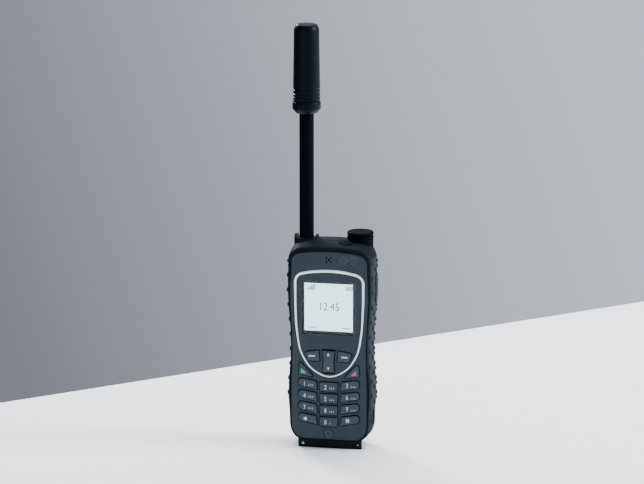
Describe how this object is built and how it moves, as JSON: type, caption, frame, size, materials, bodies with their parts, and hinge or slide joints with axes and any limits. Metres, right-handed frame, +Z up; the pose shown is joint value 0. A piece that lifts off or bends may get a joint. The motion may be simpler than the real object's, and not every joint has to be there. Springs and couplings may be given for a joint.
{
  "type": "satellite phone",
  "caption": "Rugged satellite handset with a waisted studded body, lit display, keypad, flip-cap emergency key and a telescoping, folding antenna, standing on a base adapter.",
  "frame": {"origin": "on the underside of the base adapter, under the middle of the handset", "axes": "+X to the viewer's right, +Y towards the back, +Z up along the antenna"},
  "size_m": [0.0598, 0.0293, 0.285],
  "materials": {
    "housing": "fine moulded texture",
    "grip": "matt overmoulded rubber",
    "panel": "fine satin texture",
    "ring": "satin",
    "window": "clear",
    "lcd": "lit panel",
    "lens": "smoked",
    "frame": "cast, blasted",
    "board": "solder mask",
    "steel": "fine",
    "black_plastic": "moulded",
    "key": "satin coated rubber",
    "power": "gloss",
    "emergency": "satin",
    "cap": "satin",
    "fork": "satin",
    "mast": "satin black",
    "well": "drawn tube",
    "radome": "satin",
    "collar": "semi-gloss",
    "battery": "fine moulded texture",
    "base": "satin"
  },
  "bodies": {
    "handset": {"front_housing": "housing", "rear_housing": "housing", "housing_gasket": "grip", "front_panel": "panel", "ring_trim": "ring", "display_window": "window", "lcd_module": "lcd", "inner_frame": "frame", "keypad_mat": "grip", "dome_sheet": "board", "main_board": "board", "shield_cans": "steel", "earpiece": "black_plastic", "microphone": "black_plastic", "microphone_boss": "panel", "status_windows": "lens", "grip_left": "grip", "grip_right": "grip", "housing_screws": "steel", "loudspeaker": "black_plastic", "side_socket": "black_plastic", "emergency_boss": "cap", "cover_hinge_pins": "steel", "antenna_fork": "fork", "antenna_hinge_pins": "steel", "antenna_well": "well", "sim_holder": "black_plastic", "base_adapter": "base", "adapter_sockets": "steel", "base_connector": "black_plastic"},
    "key_0": {"key_0": "key"},
    "key_1": {"key_1": "key"},
    "key_2": {"key_2": "key"},
    "key_3": {"key_3": "key"},
    "key_4": {"key_4": "key"},
    "key_5": {"key_5": "key"},
    "key_6": {"key_6": "key"},
    "key_7": {"key_7": "key"},
    "key_8": {"key_8": "key"},
    "key_9": {"key_9": "key"},
    "key_star": {"key_star": "key"},
    "key_hash": {"key_hash": "key"},
    "key_send": {"key_send": "key"},
    "key_end": {"key_end": "key"},
    "key_soft_left": {"key_soft_left": "key"},
    "key_soft_right": {"key_soft_right": "key"},
    "key_navigation": {"key_navigation": "key"},
    "volume_key": {"volume_key": "grip"},
    "talk_key": {"talk_key": "grip"},
    "power_key": {"power_key": "power"},
    "emergency_key": {"emergency_key": "emergency"},
    "emergency_cover": {"emergency_cover": "cap"},
    "port_cover": {"port_cover": "grip"},
    "battery_pack": {"battery_pack": "battery"},
    "battery_latch": {"battery_latch": "black_plastic"},
    "antenna_knuckle": {"antenna_knuckle": "fork"},
    "antenna_mast": {"antenna_mast": "mast", "antenna_collar": "collar", "antenna_radome": "radome", "antenna_helix": "black_plastic"}
  },
  "joints": [
    {"name": "key_0_press", "type": "slide", "parent": "handset", "child": "key_0", "axis": [0, 1, 0], "range_m": [0, 0.0006], "stiffness_N_per_m": 1500, "springref_m": -0.0003},
    {"name": "key_1_press", "type": "slide", "parent": "handset", "child": "key_1", "axis": [0, 1, 0], "range_m": [0, 0.0006], "stiffness_N_per_m": 1500, "springref_m": -0.0003},
    {"name": "key_2_press", "type": "slide", "parent": "handset", "child": "key_2", "axis": [0, 1, 0], "range_m": [0, 0.0006], "stiffness_N_per_m": 1500, "springref_m": -0.0003},
    {"name": "key_3_press", "type": "slide", "parent": "handset", "child": "key_3", "axis": [0, 1, 0], "range_m": [0, 0.0006], "stiffness_N_per_m": 1500, "springref_m": -0.0003},
    {"name": "key_4_press", "type": "slide", "parent": "handset", "child": "key_4", "axis": [0, 1, 0], "range_m": [0, 0.0006], "stiffness_N_per_m": 1500, "springref_m": -0.0003},
    {"name": "key_5_press", "type": "slide", "parent": "handset", "child": "key_5", "axis": [0, 1, 0], "range_m": [0, 0.0006], "stiffness_N_per_m": 1500, "springref_m": -0.0003},
    {"name": "key_6_press", "type": "slide", "parent": "handset", "child": "key_6", "axis": [0, 1, 0], "range_m": [0, 0.0006], "stiffness_N_per_m": 1500, "springref_m": -0.0003},
    {"name": "key_7_press", "type": "slide", "parent": "handset", "child": "key_7", "axis": [0, 1, 0], "range_m": [0, 0.0006], "stiffness_N_per_m": 1500, "springref_m": -0.0003},
    {"name": "key_8_press", "type": "slide", "parent": "handset", "child": "key_8", "axis": [0, 1, 0], "range_m": [0, 0.0006], "stiffness_N_per_m": 1500, "springref_m": -0.0003},
    {"name": "key_9_press", "type": "slide", "parent": "handset", "child": "key_9", "axis": [0, 1, 0], "range_m": [0, 0.0006], "stiffness_N_per_m": 1500, "springref_m": -0.0003},
    {"name": "key_star_press", "type": "slide", "parent": "handset", "child": "key_star", "axis": [0, 1, 0], "range_m": [0, 0.0006], "stiffness_N_per_m": 1500, "springref_m": -0.0003},
    {"name": "key_hash_press", "type": "slide", "parent": "handset", "child": "key_hash", "axis": [0, 1, 0], "range_m": [0, 0.0006], "stiffness_N_per_m": 1500, "springref_m": -0.0003},
    {"name": "key_send_press", "type": "slide", "parent": "handset", "child": "key_send", "axis": [0, 1, 0], "range_m": [0, 0.0006], "stiffness_N_per_m": 1500, "springref_m": -0.0003},
    {"name": "key_end_press", "type": "slide", "parent": "handset", "child": "key_end", "axis": [0, 1, 0], "range_m": [0, 0.0006], "stiffness_N_per_m": 1500, "springref_m": -0.0003},
    {"name": "key_soft_left_press", "type": "slide", "parent": "handset", "child": "key_soft_left", "axis": [0, 1, 0], "range_m": [0, 0.0006], "stiffness_N_per_m": 1500, "springref_m": -0.0003},
    {"name": "key_soft_right_press", "type": "slide", "parent": "handset", "child": "key_soft_right", "axis": [0, 1, 0], "range_m": [0, 0.0006], "stiffness_N_per_m": 1500, "springref_m": -0.0003},
    {"name": "key_navigation_press", "type": "slide", "parent": "handset", "child": "key_navigation", "axis": [0, 1, 0], "range_m": [0, 0.0006], "stiffness_N_per_m": 1500, "springref_m": -0.0003},
    {"name": "volume_key_press", "type": "slide", "parent": "handset", "child": "volume_key", "axis": [-1, 0, 0], "range_m": [0, 0.0006], "stiffness_N_per_m": 1500, "springref_m": -0.0003},
    {"name": "talk_key_press", "type": "slide", "parent": "handset", "child": "talk_key", "axis": [1, 0, 0], "range_m": [0, 0.0006], "stiffness_N_per_m": 1500, "springref_m": -0.0003},
    {"name": "power_key_press", "type": "slide", "parent": "handset", "child": "power_key", "axis": [0, 0.309, -0.9511], "range_m": [0, 0.0006], "stiffness_N_per_m": 1500, "springref_m": -0.0003},
    {"name": "emergency_key_press", "type": "slide", "parent": "handset", "child": "emergency_key", "axis": [0, 0, -1], "range_m": [0, 0.0008], "stiffness_N_per_m": 1500, "springref_m": -0.0003},
    {"name": "emergency_cover_flip", "type": "hinge", "parent": "handset", "child": "emergency_cover", "pos_m": [0.0177, 0.0133, 0.14245], "axis": [-1, 0, 0], "range_deg": [0, 100]},
    {"name": "port_cover_flip", "type": "hinge", "parent": "handset", "child": "port_cover", "pos_m": [0.0282, -0.003, 0.0212], "axis": [0, 0, -1], "range_deg": [0, 95]},
    {"name": "battery_removal", "type": "slide", "parent": "handset", "child": "battery_pack", "axis": [0, 1, 0], "range_m": [0, 0.02]},
    {"name": "battery_latch_slide", "type": "slide", "parent": "handset", "child": "battery_latch", "axis": [0, 0, 1], "range_m": [0, 0.002], "stiffness_N_per_m": 400, "springref_m": -0.001},
    {"name": "antenna_tilt", "type": "hinge", "parent": "handset", "child": "antenna_knuckle", "pos_m": [-0.0188, 0.0035, 0.1354], "axis": [-1, 0, 0], "range_deg": [0, 90]},
    {"name": "antenna_slide", "type": "slide", "parent": "antenna_knuckle", "child": "antenna_mast", "axis": [0, 0, 1], "range_m": [-0.0814, 0]}
  ]
}
